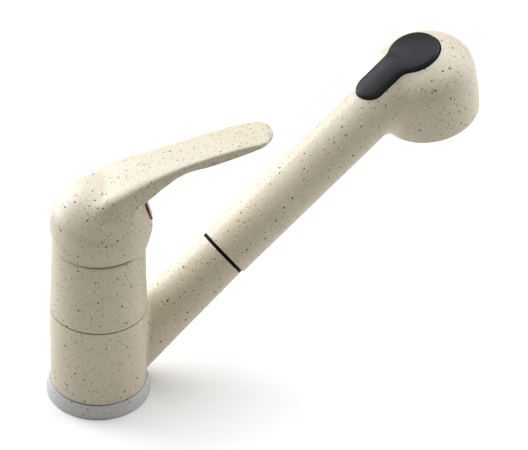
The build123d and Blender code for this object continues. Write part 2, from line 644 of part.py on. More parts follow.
# Diverter block: closes the spray chambers, carries the waterway, the plunger and the rocker pin
rock_centre = arm_side.from_local_coords((ROCK_AT, ROCK_H, 0))
rock_plane = Plane(origin=rock_centre, x_dir=arm, z_dir=(0, -1, 0))
lug_out = LUG_IN + LUG_T
with BuildPart() as diverter_block:
    head_ring(HEAD_FACE_R - HEAD_WALL - FIT_GAP, 0, MAT_TOP, MAT_TOP + BLOCK_FLANGE_T)
    head_ring(TOWER_R, 0, MAT_TOP, TOWER_TOP)
    arm_ring(BLOCK_NECK_R, 0, SOCKET_START, HEAD_AT)
    arm_ring(BLOCK_SOCKET_R, 0, SOCKET_START, BLOCK_NECK_AT)
    with BuildSketch(rock_plane):
        with Locations((0, -ROCK_H)):
            Rectangle(LUG_W, ROCK_H + LUG_RISE, align=(Align.CENTER, Align.MIN))
    extrude(amount=lug_out, both=True)
    with BuildSketch(rock_plane):
        with Locations((0, -ROCK_H / 2)):
            Rectangle(2 * LUG_W, 2 * ROCK_H, align=(Align.CENTER, Align.MIN))
    extrude(amount=LUG_IN, both=True, mode=Mode.SUBTRACT)
    arm_ring(BLOCK_NECK_R, 0, BLOCK_NECK_AT, HEAD_AT)
    with BuildSketch(rock_plane):
        Circle(ROCK_PIN_R)
    extrude(amount=lug_out, both=True, mode=Mode.SUBTRACT)
    arm_ring(PIPE_R + FIT_GAP, 0, SOCKET_START, SOCKET_END, mode=Mode.SUBTRACT)
    arm_ring(BLOCK_NECK_BORE_R, 0, SOCKET_START, HEAD_AT, mode=Mode.SUBTRACT)
    head_ring(VALVE_BORE_R, 0, MAT_TOP, CROWN_TOP, mode=Mode.SUBTRACT)

with BuildPart() as rocker_pin:
    with BuildSketch(rock_plane):
        Circle(ROCK_PIN_R)
    extrude(amount=lug_out, both=True)

with BuildPart() as rocker_button:
    extrude(key_outline(0), amount=2 * HANDSET_LOW_R)
    add(handset_form(BUTTON_PROUD), mode=Mode.INTERSECT)
    fillet(rocker_button.faces().sort_by(Axis.Z)[-1].edges(), BUTTON_EDGE)
    add(handset_form(BUTTON_PROUD - BUTTON_T), mode=Mode.SUBTRACT)
    with BuildSketch(rock_plane):
        Circle(ROCK_BOSS_R)
        Rectangle(2 * ROCK_BOSS_R, HANDSET_TOP_R - BUTTON_T / 2 - ROCK_H,
                  align=(Align.CENTER, Align.MIN))
    extrude(amount=LUG_IN - LOOSE_GAP, both=True)
    with BuildSketch(rock_plane):
        Circle(ROCK_PIN_R + TURN_GAP)
    extrude(amount=LUG_IN, both=True, mode=Mode.SUBTRACT)

plunger_top = CROWN_TOP + BUTTON_PROUD - BUTTON_T - PLUNGER_GAP
plunger_r = VALVE_BORE_R - TURN_GAP
with BuildPart() as diverter_plunger:
    head_ring(plunger_r, 0, PLUNGER_FOOT, TOWER_TOP)
    head_ring(PLUNGER_ROD_R, 0, TOWER_TOP, plunger_top)
    fillet(diverter_plunger.faces().sort_by(head_axis)[-1].edges(), PLUNGER_ROD_R / 2)
    head_ring(plunger_r, plunger_r - PLUNGER_SEAL_W, PLUNGER_SEAL_AT,
              PLUNGER_SEAL_AT + PLUNGER_SEAL_T, mode=Mode.SUBTRACT)

with BuildPart() as plunger_seal:
    head_ring(plunger_r, plunger_r - PLUNGER_SEAL_W, PLUNGER_SEAL_AT,
              PLUNGER_SEAL_AT + PLUNGER_SEAL_T)

pieces = {
    "base_ring": base_ring, "base_seal": base_seal, "mixer_body": mixer_body,
    "lower_glide_ring": lower_glide_ring, "upper_glide_ring": upper_glide_ring,
    "spout_body": spout_body, "socket_bush": socket_bush,
    "cartridge_seals": cartridge_seals, "cartridge_base": cartridge_base,
    "fixed_disc": fixed_disc, "moving_disc": moving_disc, "disc_coupler": disc_coupler,
    "cartridge_housing": cartridge_housing, "cartridge_rotor": cartridge_rotor,
    "cartridge_nut": cartridge_nut, "stem_pin": stem_pin, "stem": stem,
    "cover_dome": cover_dome, "lever": lever, "grub_screw": grub_screw,
    "indicator_plug": indicator_plug, "handset_shell": handset_shell,
    "handset_tail": handset_tail, "inlet_washer": inlet_washer, "check_valve": check_valve,
    "waterway": waterway, "face_ring": face_ring, "spray_plate": spray_plate,
    "nozzle_mat": nozzle_mat, "aerator": aerator, "diverter_block": diverter_block,
    "rocker_pin": rocker_pin, "rocker_button": rocker_button,
    "diverter_plunger": diverter_plunger, "plunger_seal": plunger_seal,
}

os.makedirs("parts", exist_ok=True)
for name, piece in pieces.items():
    export_step(piece.part, f"parts/{name}.step")
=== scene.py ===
# %% [markdown]
# # A kitchen mixer tap in a speckled stone finish
#
# The tap is a grey foot ring, a swivelling barrel with an inclined arm, a pull-out hand spray and a
# lever. The engineering model already has its solids in the right places, so this lesson loads it as a
# fixed frame, sets up the camera and the studio, mixes the finishes from shader nodes, and models the
# few pieces whose surfaces have to be softer or finer than the solids are.

# %% Load the frame
import json
import math

import bpy
from mathutils import Matrix, Vector


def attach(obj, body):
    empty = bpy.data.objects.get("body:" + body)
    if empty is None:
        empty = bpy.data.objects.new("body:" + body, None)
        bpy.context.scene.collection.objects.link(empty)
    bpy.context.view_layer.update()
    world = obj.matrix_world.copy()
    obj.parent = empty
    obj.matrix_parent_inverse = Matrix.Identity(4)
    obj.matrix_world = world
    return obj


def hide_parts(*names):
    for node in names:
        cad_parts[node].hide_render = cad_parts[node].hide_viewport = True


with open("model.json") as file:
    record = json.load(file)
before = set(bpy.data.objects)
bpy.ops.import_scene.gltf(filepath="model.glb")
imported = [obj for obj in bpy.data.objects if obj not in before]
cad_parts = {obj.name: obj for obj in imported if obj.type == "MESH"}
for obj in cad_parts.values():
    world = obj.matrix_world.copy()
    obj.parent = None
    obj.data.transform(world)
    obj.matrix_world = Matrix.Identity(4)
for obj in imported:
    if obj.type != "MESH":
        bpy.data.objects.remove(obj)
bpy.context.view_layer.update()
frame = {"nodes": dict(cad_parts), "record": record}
nodes = frame["nodes"]
bpy.ops.object.select_all(action="DESELECT")

# %% [markdown]
# ## The camera
#
# The photograph looks down at the tap from one side, with the arm rising to the right. A long lens from
# more than a metre away keeps the barrel nearly parallel, as it is there. The camera could be aimed with
# a constraint, but a matrix built from its heading, height and roll repeats the fitted view exactly, and
# has nothing left to solve.

# %% Camera
HEADING = math.radians(-32.0)  # at 0 it looks along +Y, and from here it stands further towards -X
HEIGHT = math.radians(36.6)  # above the horizon
ROLL = math.radians(2.84)
DISTANCE = 1.2  # metres from the aimed point
ON_COLUMN = Vector((0.0, 0.0, 0.06))  # the aimed point is measured from here
AIM_RIGHT = 0.0787
AIM_UP = 0.0364
FRAME_W = 528  # pixels across the picture
PIXELS_PER_METRE = 2057.8  # at the aimed point
SENSOR = 36.0  # millimetres across
FAR_CLIP = 20.0  # metres

flat = math.cos(HEIGHT)
back = Vector((math.sin(HEADING) * flat, -math.cos(HEADING) * flat, math.sin(HEIGHT)))
level_right = Vector((math.cos(HEADING), math.sin(HEADING), 0.0))
level_up = back.cross(level_right)
right = level_right * math.cos(ROLL) + level_up * math.sin(ROLL)
up = level_up * math.cos(ROLL) - level_right * math.sin(ROLL)
place = ON_COLUMN + level_right * AIM_RIGHT + level_up * AIM_UP + back * DISTANCE

camera_data = bpy.data.cameras.new("camera")
camera_data.sensor_width = SENSOR
camera_data.lens = SENSOR * PIXELS_PER_METRE * DISTANCE / FRAME_W
camera_data.clip_end = FAR_CLIP
camera = bpy.data.objects.new("camera", camera_data)
camera.matrix_world = Matrix.Translation(place) @ Matrix((right, up, back)).transposed().to_4x4()
bpy.context.scene.collection.objects.link(camera)
bpy.context.scene.camera = camera
print("lens mm:", round(camera_data.lens, 1), "camera at", tuple(round(c, 3) for c in place))

# %% [markdown]
# ## The floor
#
# The tap stands on a white sweep, a sheet with no horizon. A curved sheet could be modelled, but a large
# flat plane does the same here, because its paint fades to pure white a little way out from the tap.

# %% Floor
FLOOR_SIZE = 6.0  # metres

bpy.ops.mesh.primitive_plane_add(size=FLOOR_SIZE, location=(0, 0, 0))
floor = bpy.context.object
floor.name = "floor"
bpy.ops.object.mode_set(mode="EDIT")
bpy.ops.mesh.subdivide(number_cuts=3)
bpy.ops.object.mode_set(mode="OBJECT")
print("floor faces:", len(floor.data.polygons))

# %% [markdown]
# ## Helpers for node trees
#
# Every finish here is a tree of shader nodes. It could be clicked together in the editor. In a script,
# four short helpers do the same: one adds a node, one sets its values, and two make the nodes that are
# needed most, a sum or product of two values and a mix of two colours.

# %% Helpers for node trees
def add_node(tree, kind, **settings):
    """A node of that kind in the tree, with its settings made."""
    made = tree.nodes.new(kind)
    for key, value in settings.items():
        setattr(made, key, value)
    return made


def set_inputs(node, **values):
    """Plain values for the node's sockets, named with _ for a space."""
    for key, value in values.items():
        node.inputs[key.replace("_", " ")].default_value = value
    return node


def math_node(tree, operation, first, second):
    """A Math node on two values or sockets."""
    made = add_node(tree, "ShaderNodeMath", operation=operation)
    for socket, value in zip(made.inputs, (first, second)):
        if isinstance(value, (int, float)):
            socket.default_value = value
        else:
            tree.links.new(value, socket)
    return made.outputs["Value"]


def tint(tree, factor, first, second):
    """A colour mixed by a factor. Each colour is a tuple or a socket."""
    mixed = add_node(tree, "ShaderNodeMix", data_type="RGBA")
    tree.links.new(factor, mixed.inputs["Factor"])
    for socket, value in ((mixed.inputs[6], first), (mixed.inputs[7], second)):
        if isinstance(value, tuple):
            socket.default_value = (*value, 1.0)
        else:
            tree.links.new(value, socket)
    return mixed.outputs[2]


print("helpers:", [f.__name__ for f in (add_node, set_inputs, math_node, tint)])

# %% [markdown]
# ## The paint of the floor
#
# White paper would throw so much light back up that the shaded sides of the tap lose their depth. A black
# card could be hung in the scene, as photographers do. Here the Light Path node tells camera rays from
# bounced ones, so the paper looks white and still bounces a little less. Far from the tap a glow, for the
# camera only, hides where it ends.

# %% Floor paint
BOUNCED = (0.88, 0.845, 0.785)  # what the paper throws back on the tap
SEEN = (0.97, 0.94, 0.885)  # what the camera sees of it
GLOW_STARTS = 0.40  # metres from the tap, where its shadow has ended
GLOW_FULL = 1.10

floor_paint = bpy.data.materials.new("floor_paint")
floor_paint.use_nodes = True
floor_tree = floor_paint.node_tree
floor_shader = floor_tree.nodes["Principled BSDF"]
set_inputs(floor_shader, Roughness=0.9, Specular_IOR_Level=0.1, Emission_Color=(1, 1, 1, 1))
camera_ray = add_node(floor_tree, "ShaderNodeLightPath").outputs["Is Camera Ray"]
paper = tint(floor_tree, camera_ray, BOUNCED, SEEN)
floor_tree.links.new(paper, floor_shader.inputs["Base Color"])

from_tap = add_node(floor_tree, "ShaderNodeVectorMath", operation="LENGTH")
floor_place = add_node(floor_tree, "ShaderNodeTexCoord").outputs["Object"]
floor_tree.links.new(floor_place, from_tap.inputs[0])
fade = set_inputs(add_node(floor_tree, "ShaderNodeMapRange"), From_Min=GLOW_STARTS, From_Max=GLOW_FULL)
floor_tree.links.new(from_tap.outputs["Value"], fade.inputs["Value"])
glow = math_node(floor_tree, "MULTIPLY", fade.outputs["Result"], camera_ray)
floor_tree.links.new(glow, floor_shader.inputs["Emission Strength"])
floor.data.materials.append(floor_paint)
print("floor:", floor_paint.name, "fades to white")

# %% [markdown]
# ## The lights
#
# One broad soft light hangs overhead. Two tall panels beyond the tap, left and right, brighten the edges
# of every round form, so the side that faces the camera is the darkest. Point lights would be simpler,
# but a satin finish shows the shape of each light in its highlights, and a panel gives the long soft ones
# of a studio.

# %% Lights
COOL_WHITE = (0.95, 1.0, 1.09)
OVERHEAD = (1.6, 1.4)  # metres wide and long
PANEL = (0.9, 1.2)  # metres wide and tall

middle = Vector((0.08, 0.0, 0.09))  # about the middle of the tap
ahead = Vector((-back.x, -back.y, 0.0)).normalized()  # level, away from the camera


def softbox(name, size, power, to_right, away, height):
    """An oblong area light, placed from the middle of the tap and aimed at it."""
    data = bpy.data.lights.new(name, "AREA")
    data.shape = "RECTANGLE"
    data.size, data.size_y = size
    data.energy = power
    data.color = COOL_WHITE
    lamp = bpy.data.objects.new(name, data)
    lamp.location = middle + level_right * to_right + ahead * away + Vector((0.0, 0.0, height))
    lamp.rotation_euler = (middle - lamp.location).to_track_quat("-Z", "Y").to_euler()
    lamp.visible_camera = False
    bpy.context.scene.collection.objects.link(lamp)
    return lamp


lamps = [
    softbox("overhead", OVERHEAD, power=19.0, to_right=0.0, away=0.2, height=1.1),
    softbox("left_panel", PANEL, power=17.5, to_right=-0.9, away=0.5, height=0.25),
    softbox("right_panel", PANEL, power=7.5, to_right=0.9, away=0.4, height=0.42),
]
print("lights:", [lamp.name for lamp in lamps])

# %% [markdown]
# ## The room around it
#
# A photograph cut out on white has no room in it. A white world would light the tap from all sides and
# flatten it, so the world is white to the camera alone, and a dim, warm grey to everything else.

# %% World
ROOM = (1.0, 0.95, 0.88, 1)
ROOM_STRENGTH = 0.03

world = bpy.data.worlds.new("studio")
bpy.context.scene.world = world
world.use_nodes = True
room_tree = world.node_tree
dim = set_inputs(room_tree.nodes["Background"], Color=ROOM, Strength=ROOM_STRENGTH)
white = set_inputs(add_node(room_tree, "ShaderNodeBackground"), Color=(1, 1, 1, 1))
path = add_node(room_tree, "ShaderNodeLightPath")
choose = add_node(room_tree, "ShaderNodeMixShader")
room_tree.links.new(path.outputs["Is Camera Ray"], choose.inputs["Fac"])
room_tree.links.new(dim.outputs["Background"], choose.inputs[1])
room_tree.links.new(white.outputs["Background"], choose.inputs[2])
room_tree.links.new(choose.outputs["Shader"], room_tree.nodes["World Output"].inputs["Surface"])
bpy.context.scene.view_settings.view_transform = "Standard"
print("world:", world.name, "with", len(room_tree.nodes), "nodes")

# %% [markdown]
# ## Two shared effects
#
# Stone specks appear in the beige coating and in the grey ring, and a fine grain lies on every surface.
# The nodes could be drawn again in each material, but a node group is built once and then placed in each
# with its own values. Both groups start from an empty one with named sockets.

# %% The start of a node group
def new_group(name, inputs, outputs):
    """An empty node group with a Vector input, more inputs that are values, and values out."""
    group = bpy.data.node_groups.new(name, "ShaderNodeTree")
    group.interface.new_socket("Vector", in_out="INPUT", socket_type="NodeSocketVector")
    for title in inputs:
        group.interface.new_socket(title, in_out="INPUT", socket_type="NodeSocketFloat")
    for title in outputs:
        group.interface.new_socket(title, in_out="OUTPUT", socket_type="NodeSocketFloat")
    return group, group.nodes.new("NodeGroupInput"), group.nodes.new("NodeGroupOutput")


print("group helper:", new_group.__name__)

# %% [markdown]
# ## Specks of stone
#
# The coating holds chips of stone, and a surface cuts each chip at some depth, so they show as spots of
# many sizes. Painted dots would be all alike. Here a speck is a ball in a cell of a 3-D Voronoi texture:
# one random number per cell chooses the cells that have a chip, a second sets its size, and a little noise
# makes it less round.

# %% Stone specks
TURNED_BY = (0.6, 0.4, 0.8)  # radians, so that no row of cells lies along an edge
RIPPLES_PER_METRE = 2600.0  # in a chip's outline
RIPPLE_DEPTH = 0.0007
CORE = 0.65  # the part of a chip's radius that has its full colour

specks_group, given, result = new_group(
    "stone_specks", ["Cells per metre", "Share", "Smallest", "Largest"], ["Mask"]
)
link = specks_group.links.new
askew = add_node(specks_group, "ShaderNodeVectorRotate", rotation_type="EULER_XYZ")
askew.inputs["Rotation"].default_value = TURNED_BY
link(given.outputs["Vector"], askew.inputs["Vector"])
ripples = set_inputs(add_node(specks_group, "ShaderNodeTexNoise"), Scale=RIPPLES_PER_METRE, Detail=1.0)
link(askew.outputs["Vector"], ripples.inputs["Vector"])
shift = set_inputs(add_node(specks_group, "ShaderNodeVectorMath", operation="SCALE"), Scale=RIPPLE_DEPTH)
link(ripples.outputs["Color"], shift.inputs[0])
shifted = add_node(specks_group, "ShaderNodeVectorMath", operation="ADD")
link(askew.outputs["Vector"], shifted.inputs[0])
link(shift.outputs["Vector"], shifted.inputs[1])
cells = add_node(specks_group, "ShaderNodeTexVoronoi")
link(shifted.outputs["Vector"], cells.inputs["Vector"])
link(given.outputs["Cells per metre"], cells.inputs["Scale"])

chance = add_node(specks_group, "ShaderNodeSeparateColor")
link(cells.outputs["Color"], chance.inputs["Color"])
chosen = math_node(specks_group, "LESS_THAN", chance.outputs["Red"], given.outputs["Share"])
radius = add_node(specks_group, "ShaderNodeMapRange")
link(chance.outputs["Green"], radius.inputs["Value"])
link(given.outputs["Smallest"], radius.inputs["To Min"])
link(given.outputs["Largest"], radius.inputs["To Max"])
inside = add_node(specks_group, "ShaderNodeMapRange", interpolation_type="SMOOTHSTEP")
set_inputs(inside, To_Min=1.0, To_Max=0.0)
link(cells.outputs["Distance"], inside.inputs["Value"])
link(math_node(specks_group, "MULTIPLY", radius.outputs["Result"], CORE), inside.inputs["From Min"])
link(radius.outputs["Result"], inside.inputs["From Max"])
link(math_node(specks_group, "MULTIPLY", chosen, inside.outputs["Result"]), result.inputs["Mask"])
print("specks:", len(specks_group.nodes), "nodes")

# %% [markdown]
# ## Fine grain
#
# No moulded, coated or turned surface is quite even. A fine noise gives the small relief that breaks up a
# highlight, and a slow one lets the colour drift over a thumb's breadth. Real displacement would need
# millions of faces for this, so the grain goes to roughness and bump instead.

# %% Fine grain
CLOUDS_PER_METRE = 55.0
NOISE_MIDDLE = 0.5  # noise swings about this value

grain_group, given, result = new_group(
    "fine_grain", ["Grains per metre", "Roughness", "Variation"], ["Roughness", "Height", "Cloud"]
)
link = grain_group.links.new
grain = set_inputs(add_node(grain_group, "ShaderNodeTexNoise"), Detail=3.0, Roughness=0.6)
link(given.outputs["Vector"], grain.inputs["Vector"])
link(given.outputs["Grains per metre"], grain.inputs["Scale"])
cloud = set_inputs(add_node(grain_group, "ShaderNodeTexNoise"), Scale=CLOUDS_PER_METRE, Detail=2.0)
link(given.outputs["Vector"], cloud.inputs["Vector"])
offset = math_node(grain_group, "SUBTRACT", grain.outputs["Fac"], NOISE_MIDDLE)
swing = math_node(grain_group, "MULTIPLY", offset, given.outputs["Variation"])
link(math_node(grain_group, "ADD", swing, given.outputs["Roughness"]), result.inputs["Roughness"])
link(grain.outputs["Fac"], result.inputs["Height"])
link(cloud.outputs["Fac"], result.inputs["Cloud"])
print("groups:", [g.name for g in bpy.data.node_groups])

# %% [markdown]
# ## Finishes
#
# Every material starts the same way: Object coordinates, and a fine grain that drives roughness and bump.
# A ready set of textures could be wrapped on, but it would need images and seams, and Object coordinates
# need neither. The colour, and what makes each finish itself, is then added on top.

# %% The start of a finish
BUMP_STRENGTH = 0.35


def start_finish(name, grains, rough, variation, bump, metallic=0.0):
    """A material with grain on it. Returns it, its coordinates and its grain node."""
    material = bpy.data.materials.new(name)
    material.use_nodes = True
    tree = material.node_tree
    shader = tree.nodes["Principled BSDF"]
    shader.inputs["Metallic"].default_value = metallic
    coordinates = add_node(tree, "ShaderNodeTexCoord").outputs["Object"]
    grained = add_node(tree, "ShaderNodeGroup", node_tree=grain_group)
    set_inputs(grained, Grains_per_metre=grains, Roughness=rough, Variation=variation)
    tree.links.new(coordinates, grained.inputs["Vector"])
    tree.links.new(grained.outputs["Roughness"], shader.inputs["Roughness"])
    raised = set_inputs(add_node(tree, "ShaderNodeBump"), Strength=BUMP_STRENGTH, Distance=bump)
    tree.links.new(grained.outputs["Height"], raised.inputs["Height"])
    tree.links.new(raised.outputs["Normal"], shader.inputs["Normal"])
    return material, coordinates, grained


def colour_in(material, colour):
    """Leads a colour to the material's shader."""
    shader = material.node_tree.nodes["Principled BSDF"]
    material.node_tree.links.new(colour, shader.inputs["Base Color"])
    return material


def speckled(tree, coordinates, colour, layers):
    """Layers of specks on a colour. A layer is cells per metre, share, smallest, largest, colour."""
    for cells_per_metre, share, smallest, largest, speck_colour in layers:
        made = add_node(tree, "ShaderNodeGroup", node_tree=specks_group)
        set_inputs(made, Cells_per_metre=cells_per_metre, Share=share, Smallest=smallest, Largest=largest)
        tree.links.new(coordinates, made.inputs["Vector"])
        colour = tint(tree, made.outputs["Mask"], colour, speck_colour)
    return colour


print("finish helpers:", [f.__name__ for f in (start_finish, colour_in, speckled)])

# %% [markdown]
# ## The beige stone coating
#
# Barrel, sleeve, lever and hand spray share one satin coating, made to match stone sinks: beige, with brown
# and pale grains and scattered dark chips. One speck pattern of mixed colours could do it. Four layers are
# used, because the brown grains are many and faint, and the dark chips fewer and clear.

# %% Beige stone coating
BEIGE = ((0.585, 0.505, 0.360), (0.640, 0.560, 0.405))  # it drifts between these
STONE_LAYERS = (
    (1000.0, 0.40, 0.20, 0.50, (0.47, 0.385, 0.265)),  # brown grains
    (800.0, 0.15, 0.20, 0.45, (0.74, 0.68, 0.55)),  # pale grains
    (640.0, 0.42, 0.13, 0.29, (0.085, 0.062, 0.042)),  # small dark chips
    (340.0, 0.42, 0.11, 0.24, (0.025, 0.018, 0.012)),  # larger dark chips
)


def stone_coating(name, rough):
    """Beige with fine mottling, brown and pale grains and scattered dark chips."""
    material, coordinates, grained = start_finish(
        name, grains=1500.0, rough=rough, variation=0.16, bump=0.00004
    )
    tree = material.node_tree
    body = tint(tree, grained.outputs["Cloud"], *BEIGE)
    return colour_in(material, speckled(tree, coordinates, body, STONE_LAYERS))


finishes = {}
finishes["granite"] = stone_coating("stone_coating", rough=0.42)
finishes["granite_shell"] = stone_coating("stone_moulding", rough=0.40)  # a touch smoother
print("stone:", [m.name for m in finishes.values()])

# %% [markdown]
# ## The grey foot ring
#
# The ring that the tap stands on is a cool grey, finely speckled in dark and pale. It could be bare metal,
# but in the photograph it has no mirror in it, so it is a coated ring too, with the same specks in other
# colours.

# %% Grey ring
RING_GREY = ((0.49, 0.475, 0.455), (0.56, 0.545, 0.525))  # it drifts between these
RING_LAYERS = (
    (800.0, 0.4, 0.15, 0.4, (0.68, 0.665, 0.64)),  # pale specks
    (520.0, 0.30, 0.1, 0.3, (0.09, 0.085, 0.08)),  # dark specks
)

ring_coat, ring_place, ring_grain = start_finish(
    "grey_ring", grains=1800.0, rough=0.38, variation=0.2, bump=0.00003
)
shade = tint(ring_coat.node_tree, ring_grain.outputs["Cloud"], *RING_GREY)
shade = speckled(ring_coat.node_tree, ring_place, shade, RING_LAYERS)
finishes["ring_grey"] = colour_in(ring_coat, shade)
print("ring:", ring_coat.name)

# %% [markdown]
# ## Moulded plastics, rubber and ceramic
#
# The thumb button is a soft charcoal moulding with a leathery grain. The black ring on the arm, the seals,
# the spray nozzles and the parts of the cartridge are plain mouldings, and its two discs are ceramic. Each
# could be a flat colour, but an even black shows no form, so one helper gives them all a drifting colour
# and a grain, each with its own roughness.

# %% Moulded plastics, rubber and ceramic
DRIFT = 0.1  # how far a colour drifts each way


def moulded(name, colour, rough, variation=0.12, bump=0.00003, grains=1600.0, gloss=0.5):
    """A moulded skin: one colour that drifts a little, with a fine grain."""
    material, _, grained = start_finish(name, grains, rough, variation, bump)
    tree = material.node_tree
    tree.nodes["Principled BSDF"].inputs["Specular IOR Level"].default_value = gloss
    darker = tuple(c * (1.0 - DRIFT) for c in colour)
    lighter = tuple(c * (1.0 + DRIFT) for c in colour)
    return colour_in(material, tint(tree, grained.outputs["Cloud"], darker, lighter))


mouldings = {
    "button": moulded(
        "button_skin", (0.014, 0.0135, 0.013), 0.50, variation=0.3, bump=0.00016, grains=1100.0, gloss=0.23
    ),
    "black_plastic": moulded("black_plastic", (0.003, 0.003, 0.003), 0.75, gloss=0.12),
    "seal": moulded("seal_rubber", (0.014, 0.014, 0.014), 0.72),
    "nozzle": moulded("nozzle_rubber", (0.060, 0.060, 0.064), 0.62),
    "plate": moulded("spray_plate", (0.28, 0.28, 0.29), 0.4),
    "white_plastic": moulded("white_plastic", (0.76, 0.76, 0.73), 0.42),
    "grey_plastic": moulded("grey_plastic", (0.30, 0.31, 0.33), 0.45),
    "disc": moulded("lapped_ceramic", (0.82, 0.80, 0.75), 0.16, variation=0.05, bump=0.000005),
}
finishes.update(mouldings)
print("mouldings:", [m.name for m in mouldings.values()])

# %% [markdown]
# ## Turned and plated metal
#
# The cartridge's nut and the lever's stem are turned brass, and the pins and the set screw are steel: they
# show only when the tap is taken apart. The ring round the spray face and the aerator are plated, and show
# from below. Turning marks could follow the axis as rings, but on such small pieces a fine noise in colour
# and roughness reads the same from any side.

# %% Turned and plated metal
MARKED = 0.88  # the brightness of a colour in the marks of a tool or a polish


def turned(name, colour, rough, variation, bump):
    """Metal with the fine marks of a tool or a polish."""
    material, _, grained = start_finish(name, 900.0, rough, variation, bump, metallic=1.0)
    darker = tuple(c * MARKED for c in colour)
    return colour_in(material, tint(material.node_tree, grained.outputs["Height"], darker, colour))


metals = {
    "brass": turned("turned_brass", (0.72, 0.53, 0.25), rough=0.32, variation=0.2, bump=0.00002),
    "steel": turned("turned_steel", (0.56, 0.56, 0.57), rough=0.3, variation=0.2, bump=0.00002),
    "chrome": turned("bright_chrome", (0.74, 0.75, 0.76), rough=0.1, variation=0.08, bump=0.000004),
}
finishes.update(metals)
print("metals:", [m.name for m in metals.values()])

# %% [markdown]
# ## The red and blue mark
#
# A small plug closes the screw hole under the lever, one half red and the other blue, to show which way is
# hot. Two pieces could be fitted together. A dot product with the direction across the lever splits one
# plug at its middle instead, and the line stays sharp at any size.

# %% Red and blue mark
LEVER_HEADING = math.radians(-23.0)  # the lever's direction, seen from above
HOT = (0.17, 0.008, 0.008)
COLD = (0.02, 0.04, 0.24)

mark, mark_place, _ = start_finish("hot_cold_mark", grains=900.0, rough=0.25, variation=0.05, bump=0.000005)
side = add_node(mark.node_tree, "ShaderNodeVectorMath", operation="DOT_PRODUCT")
mark.node_tree.links.new(mark_place, side.inputs[0])
side.inputs[1].default_value = (-math.sin(LEVER_HEADING), math.cos(LEVER_HEADING), 0.0)
half = math_node(mark.node_tree, "GREATER_THAN", side.outputs["Value"], 0.0)
finishes["marker"] = colour_in(mark, tint(mark.node_tree, half, HOT, COLD))
print("mark:", mark.name)

# %% [markdown]
# ## Putting the finishes on
#
# The record names a finish for each piece. They could be set by hand, one piece at a time, but a loop over
# the record leaves none out.

# %% Put the finishes on
for entry in frame["record"]["subparts"]:
    piece = nodes[entry["node"]]
    finish = finishes[entry["material_slot"]]
    if piece.material_slots:
        for holder in piece.material_slots:
            holder.material = finish
    else:
        piece.data.materials.append(finish)
print("finishes:", len(finishes), "on", len(nodes), "nodes")

# %% [markdown]
# ## The lever's skin
#
# The lever is one casting: a round cap with a paddle that grows out of it. In the solid the paddle and the
# ball meet in a crease, but a casting is blended there, and on the real one the long ridge fades into the
# dome. A subdivision cage could be drawn from nothing, but then its cap would no longer fit the sleeve. A
# copy of the solid is used instead: it is swollen, remeshed and shrunk again, which fills hollow corners and
# leaves round ones, and then smoothed most near the cap, so that the paddle keeps its clear edge. The
# helpers for this serve the button's skin too.

# %% Helpers for copied solids
MERGE_DISTANCE = 0.000001


def copy_solid(node, name):
    """A merged copy of a CAD node, as a piece of its own."""
    bpy.ops.object.select_all(action="DESELECT")
    nodes[node].select_set(True)
    bpy.context.view_layer.objects.active = nodes[node]
    bpy.ops.object.duplicate()
    copied = bpy.context.object
    copied.name = copied.data.name = name
    bpy.ops.object.mode_set(mode="EDIT")
    bpy.ops.mesh.select_all(action="SELECT")
    bpy.ops.mesh.remove_doubles(threshold=MERGE_DISTANCE)
    bpy.ops.object.mode_set(mode="OBJECT")
    for key in [k for k in copied.keys() if k.startswith("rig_")]:
        del copied[key]
    return copied


def use_modifier(skin, kind, **settings):
    """Adds a modifier, sets it and applies it."""
    bpy.context.view_layer.objects.active = skin
    made = skin.modifiers.new(kind.lower(), kind)
    for key, value in settings.items():
        setattr(made, key, value)
    bpy.ops.object.modifier_apply(modifier=made.name)


def smooth(skin, times, group=""):
    """Relaxes a skin, by the weights of a vertex group where one is named."""
    use_modifier(skin, "SMOOTH", factor=0.5, iterations=times, vertex_group=group)


def remesh(skin, voxel):
    """An even net of quads over the whole piece."""
    bpy.context.view_layer.objects.active = skin
    skin.data.remesh_voxel_size = voxel
    bpy.ops.object.voxel_remesh()


def weigh(skin, name, weight_of):
    """A vertex group whose weights are a function of the vertex."""
    old = skin.vertex_groups.get(name)
    if old:
        skin.vertex_groups.remove(old)
    group = skin.vertex_groups.new(name=name)
    for vertex in skin.data.vertices:
        group.add([vertex.index], weight_of(vertex), "REPLACE")


def ease(value, low, high):
    """0 below low, 1 above high, and smooth between."""
    t = min(1.0, max(0.0, (value - low) / (high - low)))
    return t * t * (3.0 - 2.0 * t)


print("solid helpers:", [f.__name__ for f in (copy_solid, use_modifier, smooth, remesh, weigh, ease)])

# %% [markdown]
# ## Where the lever is blended
#
# The founder rounds the lever's root and leaves its rim and paddle crisp. Weights could be painted by hand.
# Written as functions of place, they hold after every remesh, which throws painted weights away.

# %% Where the lever's blends lie
PIVOT = Vector((0.0, 0.0, 0.0955))
CAP_TILT = math.radians(10.5)
RIM_ENDS = (0.004, 0.012)  # metres up the cap's axis
CAP_ENDS = (0.008, 0.038)  # metres along the lever, and so are the next three
ROOT_STARTS = (0.025, 0.030)
ROOT_ENDS = (0.040, 0.050)
TIP_STARTS = (0.068, 0.077)
MID_REACH = 0.048  # a point on the paddle's middle line, in metres along the lever
MID_HEIGHT = 0.1405  # its height above the floor
MID_SLOPE = 0.33  # how that line rises
BELOW_MIDDLE = (-0.0005, 0.0015)  # metres below that line

heading = Vector((math.cos(LEVER_HEADING), math.sin(LEVER_HEADING), 0.0))
upright = Vector((0.0, 0.0, 1.0))
cap_axis = upright * math.cos(CAP_TILT) + heading * math.sin(CAP_TILT)
cap_front = heading * math.cos(CAP_TILT) - upright * math.sin(CAP_TILT)


def above_rim(vertex):
    """1 away from the cap's rim, 0 at it."""
    return ease((vertex.co - PIVOT).dot(cap_axis), *RIM_ENDS)


